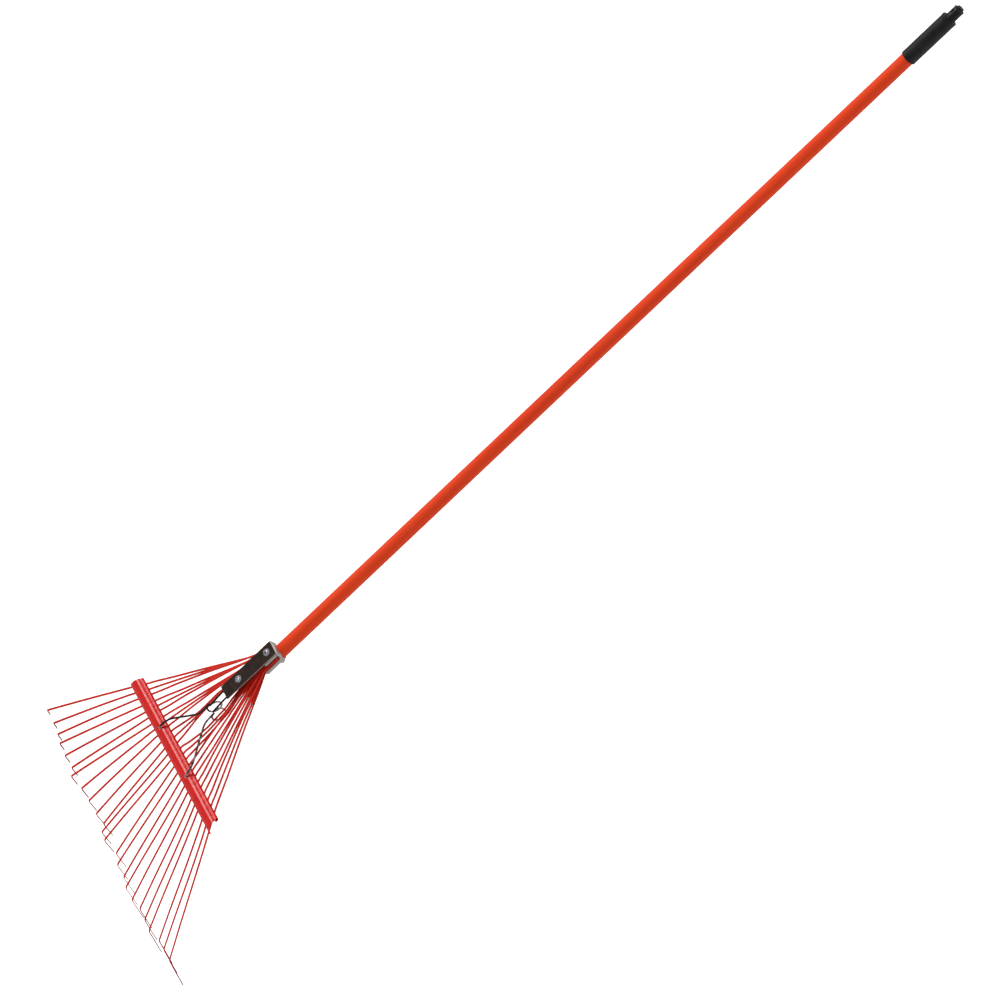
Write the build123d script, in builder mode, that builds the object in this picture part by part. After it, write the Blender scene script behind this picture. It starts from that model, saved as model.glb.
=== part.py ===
from build123d import *
import os
from math import sin, cos, tan, acos, sqrt, radians, pi

# Leaf rake with 24 flat spring-steel tines, a spreader bar, a two-coil brace
# spring, a bolted cast head and a straight fibreglass handle.
# Frame: +Z up (away from the ground), +Y along the handle from the head to the
# grip, +X along the spreader bar. Rear is +Y, front is -Y. The origin is on the
# handle axis, where the handle enters the casting. Millimetres.
# Names ending in _rear, _front, _start, _end or _y are places along Y, and those
# ending in _z, _under or _top are heights.

# ---------------------------------------------------------------- handle
handle_r = 12.7            # 1 inch tube
handle_wall = 3.2
handle_in = 37.5           # length inside the head socket
handle_length = 1676.4     # 66 inches
fit_gap = 0.05             # radial gap of the core in the tube and the tube in the socket
core_length = 160.0        # hardwood reinforcing dowel in the head end
core_r = handle_r - handle_wall - fit_gap

# ---------------------------------------------------------------- end grip
grip_start = 1552.0
grip_end = 1655.0
grip_r = 14.8
grip_rim_r = 15.3
nub_r = 11.5
nub_end = 1683.0
nub_round = 5.0            # rounding of the nub's end
nub_web = 15.0             # thickness between the two flats of the hang tab
nub_turn = 120.0           # direction the flats face, about the handle axis from +X
hang_hole_r = 4.0
hang_hole_y = 1668.5

# ---------------------------------------------------------------- bolts, nuts, washer, sleeve
bolt_r = 3.17              # 1/4 inch
bolt_hole_r = 3.4
bolt_head_r = 7.1          # low round head with a cross recess
bolt_head_h = 3.9
bolt_tip_chamfer = 0.6
recess_length, recess_width = 7.0, 1.4
nut_af = 11.1              # across flats
nut_h = 5.6
nut_bore_gap = 0.02
rear_bolt_y, front_bolt_y = -14.0, -84.5
rear_bolt_tip_z, front_bolt_tip_z = -23.6, -3.4
bolt_places = [(0, rear_bolt_y), (0, front_bolt_y)]
washer_t = 1.2
washer_r = 9.6
sleeve_r = 4.9

# ---------------------------------------------------------------- cast head
socket_r = handle_r + fit_gap
socket_front = -38.0
barrel_r = 14.8
barrel_rear, barrel_front = -1.0, -44.0
head_rear, head_front = 2.0, -52.0
wall_half = 17.4           # half width of the upper wall over the tines
wall_front = -30.0
bed_half = 21.7            # half width of the bed under the tines
bed_under = 6.6
bed_top = 14.6
bed_z = 14.2               # slot floor under the inner tine stacks
bed_level_end = -36.0      # the bed slopes down ahead of this
bed_slope_drop = 2.1       # drop of the bed by its front
slot_rear = -1.8
slot_height = 5.0
step_gap = 0.15            # half width of the ramp between two floor steps
cap_z = 21.1               # top of the upper wall
clear_half, clear_z = 30.0, 26.0       # reach of the cuts beyond the casting
tongue_front = -99.0
tongue_under = 4.6
tongue_t = 4.1
boss_r = 6.7
boss_z = 16.2
pad_r = 8.4                # round pad under the barrel for the rear nut
pad_under = -15.0
pad_h = 8.0

# slot floor steps, right half: inner x, outer x, height
floor_steps = ((0.0, 12.25, bed_z), (12.25, 16.95, bed_z - 1.3),
               (16.95, clear_half, bed_z - 3.0))
# cut that tapers the right rear corner in to the barrel: x, y
corner_cut = ((15.2, head_rear + 1), (15.2, head_rear), (16.9, -0.6), (20.4, -2.4),
              (bed_half, -4.4), (26.0, -4.4), (26.0, head_rear + 1))
# outline of the tongue: x, y
tongue_outline = ((-12.5, head_front + 4), (12.5, head_front + 4), (9.5, tongue_front + 6),
                  (6.0, tongue_front), (-6.0, tongue_front), (-9.5, tongue_front + 6))

# ---------------------------------------------------------------- clamp plate
plate_half = 14.75
plate_rear, plate_front = 0.8, -121.0
plate_t = 2.5
plate_corner_r = 1.0
plate_chamfer = 0.4
plate_z = cap_z + plate_t

# ---------------------------------------------------------------- tines
tine_w = 3.9
tine_t = 1.5
layer = 1.65               # height step between tines stacked in one column
layer_growth = 0.4         # how much the step grows ahead of the head
stack_z = 16.7             # middle of the inner stacks
# three tines to a column; the outer stacks lie lower
column_x = (-19.3, -14.6, -9.9, -5.4, 5.4, 9.9, 14.6, 19.3)
column_drop = (3.0, 1.3, 0.0, 0.0, 0.0, 0.0, 1.3, 3.0)
tine_rear = -3.5
column_end = -37.0         # the columns fan out ahead of this
slot_y0, slot_y1 = -253.0, -283.0      # where the tines enter and leave the bar
slot_z0, slot_z1 = -3.3, -7.2          # their heights there
past_bar_y = -288.0
# lateral place of each tine at the rear and the front of the bar, and at its bend
enter_x = (-156.2, -143.1, -131.1, -115.2, -103.2, -91.6, -76.8, -65.2,
           -54.1, -40.8, -26.9, -13.4, 0.5, 13.8, 27.1, 41.3,
           55.0, 68.3, 81.8, 95.0, 109.7, 126.0, 140.9, 155.9)
leave_x = (-176.6, -162.0, -147.7, -130.4, -115.3, -101.2, -86.2, -72.5,
           -58.3, -42.2, -26.2, -12.2, 2.1, 17.6, 33.0, 49.4,
           65.0, 80.0, 96.3, 111.3, 125.9, 146.2, 162.6, 176.9)
bend_x = (-297.1, -266.3, -242.3, -224.8, -197.2, -166.8, -155.3, -118.3,
          -86.5, -53.5, -25.4, -16.2, 0.1, 41.4, 60.2, 90.0,
          109.4, 138.9, 166.5, 191.3, 215.3, 248.4, 269.8, 296.4)
bend_y = (-460.5, -461.6, -465.0, -470.1, -472.3, -471.6, -480.8, -473.9,
          -472.3, -471.5, -467.7, -478.9, -482.0, -473.2, -482.0, -482.2,
          -488.5, -488.9, -483.2, -484.7, -487.6, -478.2, -478.3, -478.5)
tip_down = (42.0, 2.0)     # middle tine, extra at the outermost
tip_forward = (13.0, 6.0)
tip_splay = 25.0           # outward lean of the outermost tip
splay_half = 296.0         # bend x at which the tip takes its full splay
bend_radius = 8.0
bend_steps = 5

# where the tines are sectioned between the head and the bar: y
fan_stations = (-38, -43, -48, -54, -62, -72, -85, -102, -120, -130, -139, -150, -163,
                -177, -188, -200, -212, -224, -238)
# and between the bar and the bend: fraction of the way
reach_stations = (0.12, 0.28, 0.5, 0.75, 1.0)
# height of the middle of the fan: y, z
z_knots = ((column_end, stack_z), (-44.0, 16.25), (-52.0, 15.4), (-85.0, 12.2),
           (-120.0, 9.3), (-157.0, 6.2), (-200.0, 2.2), (-240.0, -1.85),
           (slot_y0, slot_z0), (slot_y1, slot_z1))
# distance of a column's side tines from its middle one: y, distance
full_spread = 13.3
spread_knots = ((-38.0, 0.0), (-52.0, 0.92), (-85.0, 2.96), (-120.0, 5.1), (-157.0, 7.4),
                (-187.0, 9.2), (-220.0, 11.3), (slot_y0, full_spread))
# inner, middle and outer tine of the two innermost columns: y, distance from x = 0
inner_knots = (((-85.0, 9.4), (-120.0, 12.6), (-139.0, 15.7), (-180.0, 15.9)),
               ((-85.0, 11.4), (-120.0, 16.0), (-139.0, 19.7), (-180.0, 20.7)),
               ((-85.0, 13.4), (-120.0, 19.4), (-139.0, 23.7), (-180.0, 25.6)))

# ---------------------------------------------------------------- spreader bar
bar_t = 1.1
bead_r = 3.6               # rolled rear edge
bead_y, bead_z = -257.8, -3.9
bar_front_y = -283.2
flange_foot_z = -11.0
bar_front_half = 181.8
slot_gap_w, slot_gap_t = 0.9, 0.8      # tine slots larger than the tine by these
brace_hole_x, brace_hole_y, brace_hole_r = 59.5, -268.5, 2.3
# top surface from the bead over the crown to the front flange: y, z
bar_top = ((-256.0, -0.78), (-258.6, -0.3), (-262.0, 1.35), (-266.8, 2.5), (-272.5, 1.3),
           (-277.6, -1.2), (-281.0, -3.3), (-282.7, -4.9), (bar_front_y, -6.6))
# cut at the right end, along the outermost tine: x, y
bar_end_cut = ((171.5, -248), (171.5, -255), (bar_front_half, -282.5),
               (bar_front_half, -290), (200, -290), (200, -248))

# ---------------------------------------------------------------- brace spring
wire_r = 1.8
wire_z = 19.24
loop_r = 7.4               # loop round the front bolt
loop_steps = 6             # per quarter turn
coil_r = 13.0
coil_y, coil_z = -157.6, 2.9
coil_step = 3.95           # sideways travel over one turn
coil_start = radians(86)
coil_steps = 20
wire_stations = 170
coil_out_x = loop_r + coil_step
# right arm from the bolt loop to the coil: x, y, z
arm_to_coil = ((loop_r, -98.0, wire_z), (loop_r, -112.0, wire_z),
               (loop_r, -124.0, wire_z - 0.1), (loop_r, -138.0, wire_z - 1.1),
               (loop_r + 0.02, -148.0, wire_z - 2.2))
# right arm from the coil to the hook through the bar: x, y, z
arm_to_hook = ((coil_out_x + 0.05, -168.0, 15.25), (coil_out_x + 0.4, -178.0, 14.55),
               (coil_out_x + 2.4, -186.5, 13.75), (coil_out_x + 7.6, -194.5, 13.0),
               (30.0, -209.5, 11.8), (45.0, -229.0, 9.9), (54.2, -243.0, 8.3),
               (58.2, -254.0, 6.9), (59.3, -262.0, 6.0), (brace_hole_x, -266.7, 4.8),
               (brace_hole_x, brace_hole_y + 0.05, 2.6), (brace_hole_x, brace_hole_y, 0.0),
               (brace_hole_x, brace_hole_y, -2.2))

os.makedirs("parts", exist_ok=True)


# ================================================================= helpers
def save(builder, name):
    builder.part.label = name
    export_step(builder.part, "parts/%s.step" % name)


def across(y):
    """Plane across the handle at y, facing forward (-Y)."""
    return Plane.XZ.offset(-y)


def level(z):
    """Horizontal plane at height z."""
    return Plane.XY.offset(z)


def mirrored(points):
    """Points of a profile mirrored about x = 0, in the same order."""
    return [(-x, z) for x, z in points]


def ramp(y, start, length):
    """0 behind start, rising to 1 over a length forward of it."""
    return min(1.0, max(0.0, (start - y) / length))


def smooth(t):
    return t * t * (3 - 2 * t)


def cubic(t, length, start, end, start_slope, end_slope):
    """Cubic from start to end with the given end slopes, at fraction t of length."""
    return ((2 * t**3 - 3 * t**2 + 1) * start + (t**3 - 2 * t**2 + t) * length * start_slope
            + (-2 * t**3 + 3 * t**2) * end + (t**3 - t**2) * length * end_slope)


def hermite(knots, y):
    """Smooth curve through (y, value) knots with y falling, for y within them."""
    ys = [knot[0] for knot in knots]
    values = [knot[1] for knot in knots]
    last = len(knots) - 1
    chords = [(values[i + 1] - values[i]) / (ys[i + 1] - ys[i]) for i in range(last)]
    slopes = [chords[0]]
    for a, b in zip(chords, chords[1:]):
        slopes.append(0.0 if a * b <= 0 else 2 * a * b / (a + b))
    slopes.append(chords[-1])
    for i in range(last):
        if ys[i] >= y >= ys[i + 1]:
            span = ys[i + 1] - ys[i]
            return cubic((y - ys[i]) / span, span, values[i], values[i + 1],
                         slopes[i], slopes[i + 1])


# ================================================================= tines
def tine_place(i):
    """Column, side (-1 or 1) and place in the column (-1 inner, 0 middle, 1 outer)."""
    column, k = divmod(i, 3)
    side = -1 if column < 4 else 1
    return column, side, (k - 1) * side


def fan_x(i, y):
    """Lateral place of tine i between the head and the spreader bar."""
    column, side, out = tine_place(i)
    start_x = column_x[column]
    if column in (3, 4):
        knots = [(column_end, start_x)]
        knots += [(knot_y, side * x) for knot_y, x in inner_knots[out + 1]]
        knots += [(slot_y0, enter_x[i])]
        return hermite(knots, y)
    middle_x = enter_x[3 * column + 1]
    own_spread = abs(enter_x[i] - middle_x) / full_spread
    return (start_x + ramp(y, column_end, column_end - slot_y0) * (middle_x - start_x)
            + side * out * hermite(spread_knots, y) * own_spread)


def stack_offset(i, y):
    """Height of tine i above the middle of the fan: stacked at the head, level at the bar."""
    column, _, out = tine_place(i)
    step = layer + layer_growth * ramp(y, -46.0, 60.0)
    return (-out * step * (1 - smooth(ramp(y, -192.0, 48.0)))
            - column_drop[column] * (1 - smooth(ramp(y, -50.0, 90.0))))


def at_bar(i, y):
    """Point on the straight run of tine i through the spreader bar."""
    f = (y - slot_y0) / (slot_y1 - slot_y0)
    return Vector(enter_x[i] + f * (leave_x[i] - enter_x[i]), y,
                  slot_z0 + f * (slot_z1 - slot_z0))


def reach_z(y):
    """Height of the fan ahead of the bar."""
    t = slot_y1 - y
    return slot_z1 - 0.155 * t - 0.00012 * t * t


def tine_path(i):
    """Points along the middle of tine i, and the axis it bends about."""
    points = [Vector(column_x[i // 3], y, stack_z + stack_offset(i, y))
              for y in (tine_rear, -33.0)]
    points += [Vector(fan_x(i, y), y, hermite(z_knots, y) + stack_offset(i, y))
               for y in fan_stations]
    points += [at_bar(i, -250.0), at_bar(i, past_bar_y)]

    # beyond the bar: leave between the slot direction and the chord, run to the bend
    start_x = points[-1].X
    length = bend_y[i] - past_bar_y
    slot_slope = (leave_x[i] - enter_x[i]) / (slot_y1 - slot_y0)
    end_slope = (bend_x[i] - start_x) / length
    start_slope = 0.5 * slot_slope + 0.5 * end_slope
    for t in reach_stations:
        x = cubic(t, length, start_x, bend_x[i], start_slope, end_slope)
        y = past_bar_y + t * length
        points.append(Vector(x, y, reach_z(y)))

    # round the corner and run down to the tip
    corner = points.pop()
    run_dir = (corner - points[-1]).normalized()
    lean = bend_x[i] / splay_half
    tip = Vector(tip_splay * lean,
                 -tip_forward[0] - tip_forward[1] * abs(lean),
                 -tip_down[0] - tip_down[1] * abs(lean))
    tip_dir = tip.normalized()
    turn = acos(run_dir.dot(tip_dir))
    arc_start = corner - run_dir * (bend_radius * tan(turn / 2))
    normal = (tip_dir - run_dir * run_dir.dot(tip_dir)).normalized()
    for q in range(bend_steps + 1):
        angle = turn * q / bend_steps
        points.append(arc_start + run_dir * (bend_radius * sin(angle))
                      + normal * (bend_radius * (1 - cos(angle))))
    points.append(corner + tip)
    return points, run_dir.cross(tip_dir).normalized()


def tine_planes(i):
    """Section planes of tine i, its width turning from level to the bend axis."""
    points, axis = tine_path(i)
    steps = [(b - a).normalized() for a, b in zip(points, points[1:])]
    along = [steps[0]]
    along += [(a + b).normalized() for a, b in zip(steps, steps[1:])]
    along += [steps[-1]]
    planes = []
    for point, tangent in zip(points, along):
        flat = tangent.cross(Vector(0, 0, 1)).normalized() if abs(tangent.Z) < 0.9 else axis
        if flat.dot(axis) < 0:
            flat = flat * -1.0
        f = ramp(point.Y, -300.0, -300.0 - bend_y[i] - 10.0)
        width = flat * (1 - f) + axis * f
        width = (width - tangent * width.dot(tangent)).normalized()
        planes.append(Plane(origin=point, x_dir=width, z_dir=tangent))
    return planes


def make_tine(i):
    with BuildPart() as tine:
        for plane in tine_planes(i):
            with BuildSketch(plane):
                Rectangle(tine_w, tine_t)
        loft(ruled=True)
    save(tine, "tine_%02d" % (i + 1))


# ================================================================= spreader bar
def inset(points, distance):
    """Points moved square to the curve, to the underside of the sheet."""
    result = []
    for q, (y, z) in enumerate(points):
        before = points[max(q - 1, 0)]
        after = points[min(q + 1, len(points) - 1)]
        dy, dz = after[0] - before[0], after[1] - before[1]
        length = sqrt(dy * dy + dz * dz)
        result.append((y - dz / length * distance, z + dy / length * distance))
    return result


def make_spreader_bar():
    under = inset(bar_top, bar_t)
    with BuildPart() as bar:
        with BuildSketch(Plane.YZ):
            with BuildLine():
                Spline(*bar_top)
                Polyline(bar_top[-1], (bar_front_y, flange_foot_z),
                         (under[-1][0], flange_foot_z), under[-1])
                Spline(*under[::-1])
                Line(under[0], bar_top[0])
            make_face()
            with Locations((bead_y, bead_z)):
                Circle(bead_r)
                Circle(bead_r - bar_t, mode=Mode.SUBTRACT)
        extrude(amount=bar_front_half + 2, both=True)
        # the ends follow the outermost tines
        for s in (-1, 1):
            with BuildSketch(level(-20)):
                with BuildLine():
                    Polyline(*[(s * x, y) for x, y in bar_end_cut], close=True)
                make_face()
            extrude(amount=40, mode=Mode.SUBTRACT)
        # one punched slot per tine, through the rolled edge and the front flange
        for i in range(24):
            enter, leave = at_bar(i, slot_y0), at_bar(i, slot_y1)
            along = (leave - enter).normalized()
            width = along.cross(Vector(0, 0, 1)).normalized()
            with BuildSketch(Plane(origin=enter - along * 6, x_dir=width, z_dir=along)):
                Rectangle(tine_w + slot_gap_w, tine_t + slot_gap_t)
            extrude(amount=(leave - enter).length + 14, mode=Mode.SUBTRACT)
        # holes for the hooks of the brace spring
        with BuildSketch(level(-2.0)):
            with Locations((-brace_hole_x, brace_hole_y), (brace_hole_x, brace_hole_y)):
                Circle(brace_hole_r)
        extrude(amount=8, mode=Mode.SUBTRACT)
    save(bar, "spreader_bar")


# ================================================================= head casting
def slot_floor(drop):
    """Right half of the stepped slot floor, from the middle outward."""
    points = []
    for inner_x, outer_x, z in floor_steps:
        start = inner_x + (step_gap if inner_x > 0 else 0)
        end = outer_x - (step_gap if outer_x < clear_half else 0)
        points += [(start, z - drop), (end, z - drop)]
    return points


def above_floor(floor):
    """Outline of everything above the floor."""
    return [*mirrored(floor[::-1]), *floor[1:], (clear_half, clear_z), (-clear_half, clear_z)]


def make_head_casting():
    floor = slot_floor(0.0)
    roof = [(x, z + slot_height) for x, z in floor]
    front_floor = slot_floor(bed_slope_drop)
    with BuildPart() as head:
        # bed under the tines, joined behind the slot to the upper wall over them
        with BuildSketch(across(head_rear)):
            with Locations((0, (bed_under + bed_top) / 2)):
                Rectangle(2 * bed_half, bed_top - bed_under)
        extrude(amount=head_rear - head_front)
        fillet(head.edges().filter_by(Axis.Y).group_by(Axis.Z)[0], 2.0)
        with BuildSketch(across(head_rear)):
            with Locations((0, (bed_under + cap_z) / 2)):
                Rectangle(2 * wall_half, cap_z - bed_under)
        extrude(amount=head_rear - wall_front)
        fillet(head.edges().filter_by(Axis.Y).group_by(Axis.Z)[-1], 2.2)
        # the rear corners taper in to the barrel
        for s in (-1, 1):
            with BuildSketch(level(-1)):
                with BuildLine():
                    Polyline(*[(s * x, y) for x, y in corner_cut], close=True)
                make_face()
            extrude(amount=30, mode=Mode.SUBTRACT)
        with BuildSketch(across(barrel_rear)):
            Circle(barrel_r)
        extrude(amount=barrel_rear - barrel_front)
        # slot for the eight tine stacks, open at both sides and the front
        with BuildSketch(across(slot_rear)):
            with BuildLine():
                Polyline(*floor, *roof[::-1], *mirrored(roof[1:]), *mirrored(floor[::-1]),
                         close=True)
            make_face()
        extrude(amount=slot_rear - head_front + 2, mode=Mode.SUBTRACT)
        # ahead of the upper wall the bed is open, first level and then sloping down
        for sections in (((wall_front, floor), (bed_level_end, floor)),
                         ((bed_level_end, floor), (head_front - 1, front_floor))):
            for y, section_floor in sections:
                with BuildSketch(across(y)):
                    with BuildLine():
                        Polyline(*above_floor(section_floor), close=True)
                    make_face()
            loft(ruled=True, mode=Mode.SUBTRACT)
        # tongue under the fan with the front bolt boss
        with BuildSketch(level(tongue_under)):
            with BuildLine():
                Polyline(*tongue_outline, close=True)
            make_face()
        extrude(amount=tongue_t)
        with BuildSketch(level(tongue_under)):
            with Locations((0, front_bolt_y)):
                Circle(boss_r)
        extrude(amount=boss_z - tongue_under)
        with BuildSketch(level(pad_under)):
            with Locations((0, rear_bolt_y)):
                Circle(pad_r)
        extrude(amount=pad_h)
        # socket and bolt holes
        with BuildSketch(across(head_rear + 1)):
            Circle(socket_r)
        extrude(amount=head_rear + 1 - socket_front, mode=Mode.SUBTRACT)
        with BuildSketch(level(-30)):
            with Locations(*bolt_places):
                Circle(bolt_hole_r)
        extrude(amount=60, mode=Mode.SUBTRACT)
    save(head, "head_casting")


# ================================================================= clamp plate
def make_clamp_plate():
    with BuildPart() as plate:
        with BuildSketch(level(cap_z)):
            with Locations((0, (plate_rear + plate_front) / 2)):
                RectangleRounded(2 * plate_half, plate_rear - plate_front, plate_corner_r)
            with Locations(*bolt_places):
                Circle(bolt_hole_r, mode=Mode.SUBTRACT)
        extrude(amount=plate_t)
        chamfer(plate.faces().sort_by(Axis.Z)[-1].outer_wire().edges(), plate_chamfer)
    save(plate, "clamp_plate")


# ================================================================= bolts, nuts, washer, sleeve
def make_bolt(name, y, tip_z):
    top_z = plate_z + bolt_head_h
    with BuildPart() as bolt:
        with BuildSketch(Plane(origin=(0, y, 0), x_dir=(1, 0, 0), z_dir=(0, -1, 0))):
            with BuildLine():
                Polyline((0, tip_z), (bolt_r - bolt_tip_chamfer, tip_z),
                         (bolt_r, tip_z + bolt_tip_chamfer), (bolt_r, plate_z),
                         (bolt_head_r, plate_z), (bolt_head_r, plate_z + 0.9))
                ThreePointArc((bolt_head_r, plate_z + 0.9),
                              (bolt_head_r * 0.62, plate_z + bolt_head_h * 0.82), (0, top_z))
                Line((0, top_z), (0, tip_z))
            make_face()
        revolve(axis=Axis((0, y, 0), (0, 0, 1)))
        # cross recess
        with BuildSketch(level(top_z + 0.5)):
            with Locations((0, y)):
                Rectangle(recess_length, recess_width)
                Rectangle(recess_width, recess_length)
        extrude(amount=-2.6, mode=Mode.SUBTRACT)
    save(bolt, name)


def make_nut(name, y, top_z):
    with BuildPart() as nut:
        with BuildSketch(level(top_z)):
            with Locations((0, y)):
                RegularPolygon(nut_af / 2 / cos(radians(30)), 6)
                Circle(bolt_r + nut_bore_gap, mode=Mode.SUBTRACT)
        extrude(amount=-nut_h)
    save(nut, name)


def make_ring(name, radius, base_z, height):
    """Ring round the front bolt."""
    with BuildPart() as ring:
        with BuildSketch(level(base_z)):
            with Locations((0, front_bolt_y)):
                Circle(radius)
                Circle(bolt_hole_r, mode=Mode.SUBTRACT)
        extrude(amount=height)
    save(ring, name)


# ================================================================= brace spring
def brace_arm():
    """Right half of the wire, from the middle of the bolt loop to the hook."""
    arm = []
    for q in range(loop_steps + 1):
        a = pi / 2 * q / loop_steps
        arm.append(Vector(loop_r * sin(a), front_bolt_y + loop_r * cos(a), wire_z))
    arm += [Vector(*point) for point in arm_to_coil]
    for q in range(coil_steps + 1):                     # coil hanging below the arm
        f = q / coil_steps
        a = coil_start + 2 * pi * f
        arm.append(Vector(loop_r + coil_step * (smooth(f) * 0.35 + f * 0.65),
                          coil_y - coil_r * cos(a), coil_z + coil_r * sin(a)))
    return arm + [Vector(*point) for point in arm_to_hook]


def make_brace_spring():
    """One wire: hook, arm, coil, loop round the front bolt, coil, arm, hook."""
    right = brace_arm()
    left = [Vector(-p.X, p.Y, p.Z) for p in right[:0:-1]]
    with BuildLine() as wire_line:
        Spline(*(left + right), tangents=((0, 0, 1), (0, 0, -1)))
    course = wire_line.edges()[0]
    side = Vector(1, 0, 0)
    with BuildPart() as spring:
        for q in range(wire_stations + 1):
            f = q / wire_stations
            tangent = course.tangent_at(f)
            # carry the last section's side along, so that the wire does not twist
            side = (side - tangent * side.dot(tangent)).normalized()
            with BuildSketch(Plane(origin=course.position_at(f), x_dir=side, z_dir=tangent)):
                Circle(wire_r)
        loft(ruled=True)
    save(spring, "brace_spring")


# ================================================================= handle
def make_rod(name, length, radius, bore_r=None):
    """Rod or tube from the socket rearward, drilled for the rear bolt."""
    with BuildPart() as rod:
        with BuildSketch(across(-handle_in)):
            Circle(radius)
            if bore_r:
                Circle(bore_r, mode=Mode.SUBTRACT)
        extrude(amount=-length)
        with BuildSketch(level(-20)):
            with Locations((0, rear_bolt_y)):
                Circle(bolt_hole_r)
        extrude(amount=40, mode=Mode.SUBTRACT)
    save(rod, name)


# ================================================================= end grip
def make_end_grip():
    tube_end = handle_length - handle_in
    round_start = nub_end - nub_round
    flat_start = grip_end + 1.5
    flat_dir = Vector(cos(radians(nub_turn)), 0, sin(radians(nub_turn)))
    flat_middle = Vector(0, (flat_start + round_start) / 2, 0)
    with BuildPart() as grip:
        with BuildSketch(Plane.YZ):
            with BuildLine():
                Polyline((grip_start, handle_r), (grip_start, grip_r - 0.6),
                         (grip_start + 0.6, grip_r), (grip_end - 6, grip_r),
                         (grip_end - 3, grip_rim_r), (grip_end - 0.8, grip_rim_r),
                         (grip_end, grip_rim_r - 0.8), (grip_end, nub_r),
                         (round_start, nub_r))
                RadiusArc((round_start, nub_r), (nub_end, nub_r - nub_round), -nub_round)
                Polyline((nub_end, nub_r - nub_round), (nub_end, 0), (tube_end, 0),
                         (tube_end, handle_r), (grip_start, handle_r))
            make_face()
        revolve(axis=Axis.Y)
        # two flats make the hang tab, and the hang hole runs through it
        for s in (-1, 1):
            with BuildSketch(Plane(origin=flat_dir * (s * nub_web / 2) + flat_middle,
                                   x_dir=(0, 1, 0), z_dir=flat_dir * s)):
                RectangleRounded(round_start - flat_start, 2 * nub_r + 4, 3.0)
            extrude(amount=8, mode=Mode.SUBTRACT)
        with BuildSketch(Plane(origin=Vector(0, hang_hole_y, 0) - flat_dir * 20,
                               x_dir=(0, 1, 0), z_dir=flat_dir)):
            Circle(hang_hole_r)
        extrude(amount=40, mode=Mode.SUBTRACT)
    save(grip, "end_grip")


# ================================================================= build
for i in range(24):
    make_tine(i)
make_spreader_bar()
make_head_casting()
make_clamp_plate()
make_bolt("rear_bolt", rear_bolt_y, rear_bolt_tip_z)
make_bolt("front_bolt", front_bolt_y, front_bolt_tip_z)
make_nut("rear_nut", rear_bolt_y, pad_under)
make_nut("front_nut", front_bolt_y, tongue_under)
make_ring("brace_washer", washer_r, boss_z, washer_t)
make_ring("brace_sleeve", sleeve_r, boss_z + washer_t, cap_z - boss_z - washer_t)
make_brace_spring()
make_rod("handle_tube", handle_length, handle_r, handle_r - handle_wall)
make_rod("handle_core", core_length, core_r)
make_end_grip()
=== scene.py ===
"""Leaf rake: pultruded handle, cast head, 24 sprung tines, pressed spreader bar, wire brace.

The handle axis is the Y axis. The tines leave the head towards -Y, fan out across X, pass
through the spreader bar and turn down (-Z) at their tips. Sizes are in millimetres unless
noted; meshes and procedural textures are in metres.
"""
import math
from math import acos, cos, pi, radians, sin, sqrt, tan

import bmesh
import bpy
import numpy as np
from mathutils import Matrix, Vector


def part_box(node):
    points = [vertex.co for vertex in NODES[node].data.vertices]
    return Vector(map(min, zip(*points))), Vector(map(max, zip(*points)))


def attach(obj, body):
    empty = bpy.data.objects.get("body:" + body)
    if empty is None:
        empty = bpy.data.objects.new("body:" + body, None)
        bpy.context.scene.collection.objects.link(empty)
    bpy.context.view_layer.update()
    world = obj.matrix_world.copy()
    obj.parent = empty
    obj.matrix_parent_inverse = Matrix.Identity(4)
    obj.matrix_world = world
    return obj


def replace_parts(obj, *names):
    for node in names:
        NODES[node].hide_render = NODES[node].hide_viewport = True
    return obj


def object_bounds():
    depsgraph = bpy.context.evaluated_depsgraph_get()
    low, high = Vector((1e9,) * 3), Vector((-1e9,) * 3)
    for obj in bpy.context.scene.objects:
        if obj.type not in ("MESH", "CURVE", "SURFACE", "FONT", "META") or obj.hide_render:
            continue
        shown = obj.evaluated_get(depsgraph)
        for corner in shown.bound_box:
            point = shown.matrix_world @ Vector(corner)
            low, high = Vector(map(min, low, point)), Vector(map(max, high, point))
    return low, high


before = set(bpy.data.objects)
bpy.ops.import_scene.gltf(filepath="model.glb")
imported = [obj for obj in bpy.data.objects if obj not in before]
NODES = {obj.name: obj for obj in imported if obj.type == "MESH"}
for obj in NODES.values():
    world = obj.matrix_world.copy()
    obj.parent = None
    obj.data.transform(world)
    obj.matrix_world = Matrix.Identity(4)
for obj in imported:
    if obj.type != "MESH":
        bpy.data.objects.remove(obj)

cad_lo, cad_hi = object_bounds()
scene = bpy.context.scene
MM = 0.001


# ------------------------------------------------------------------ materials
def srgb(*channels):
    """Linear RGBA from 0-255 sRGB channels."""
    linear = [(c / 255) / 12.92 if c <= 10 else ((c / 255 + 0.055) / 1.055) ** 2.4
              for c in channels]
    return (*linear, 1.0)


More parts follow.
